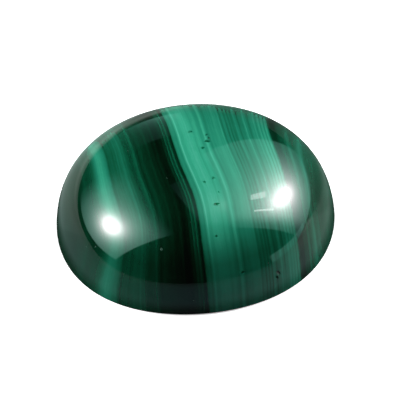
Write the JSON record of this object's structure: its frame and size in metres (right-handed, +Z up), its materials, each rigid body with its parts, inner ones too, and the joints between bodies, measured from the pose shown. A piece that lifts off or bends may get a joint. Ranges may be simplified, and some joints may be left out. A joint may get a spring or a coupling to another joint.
{
  "type": "malachite cabochon gemstone",
  "caption": "Oval cabochon of banded green malachite, domed and polished on top, with a softened base edge and a flat back that rests on a surface or beds in a setting.",
  "frame": {"origin": "middle of the flat back, on the surface that the stone rests on", "axes": "+X along the oval's length, +Y along its width, +Z up out of the dome"},
  "size_m": [0.014, 0.012, 0.005],
  "materials": {
    "malachite": "high polish over green banding"
  },
  "bodies": {
    "root": {"cabochon": "malachite"}
  },
  "joints": []
}
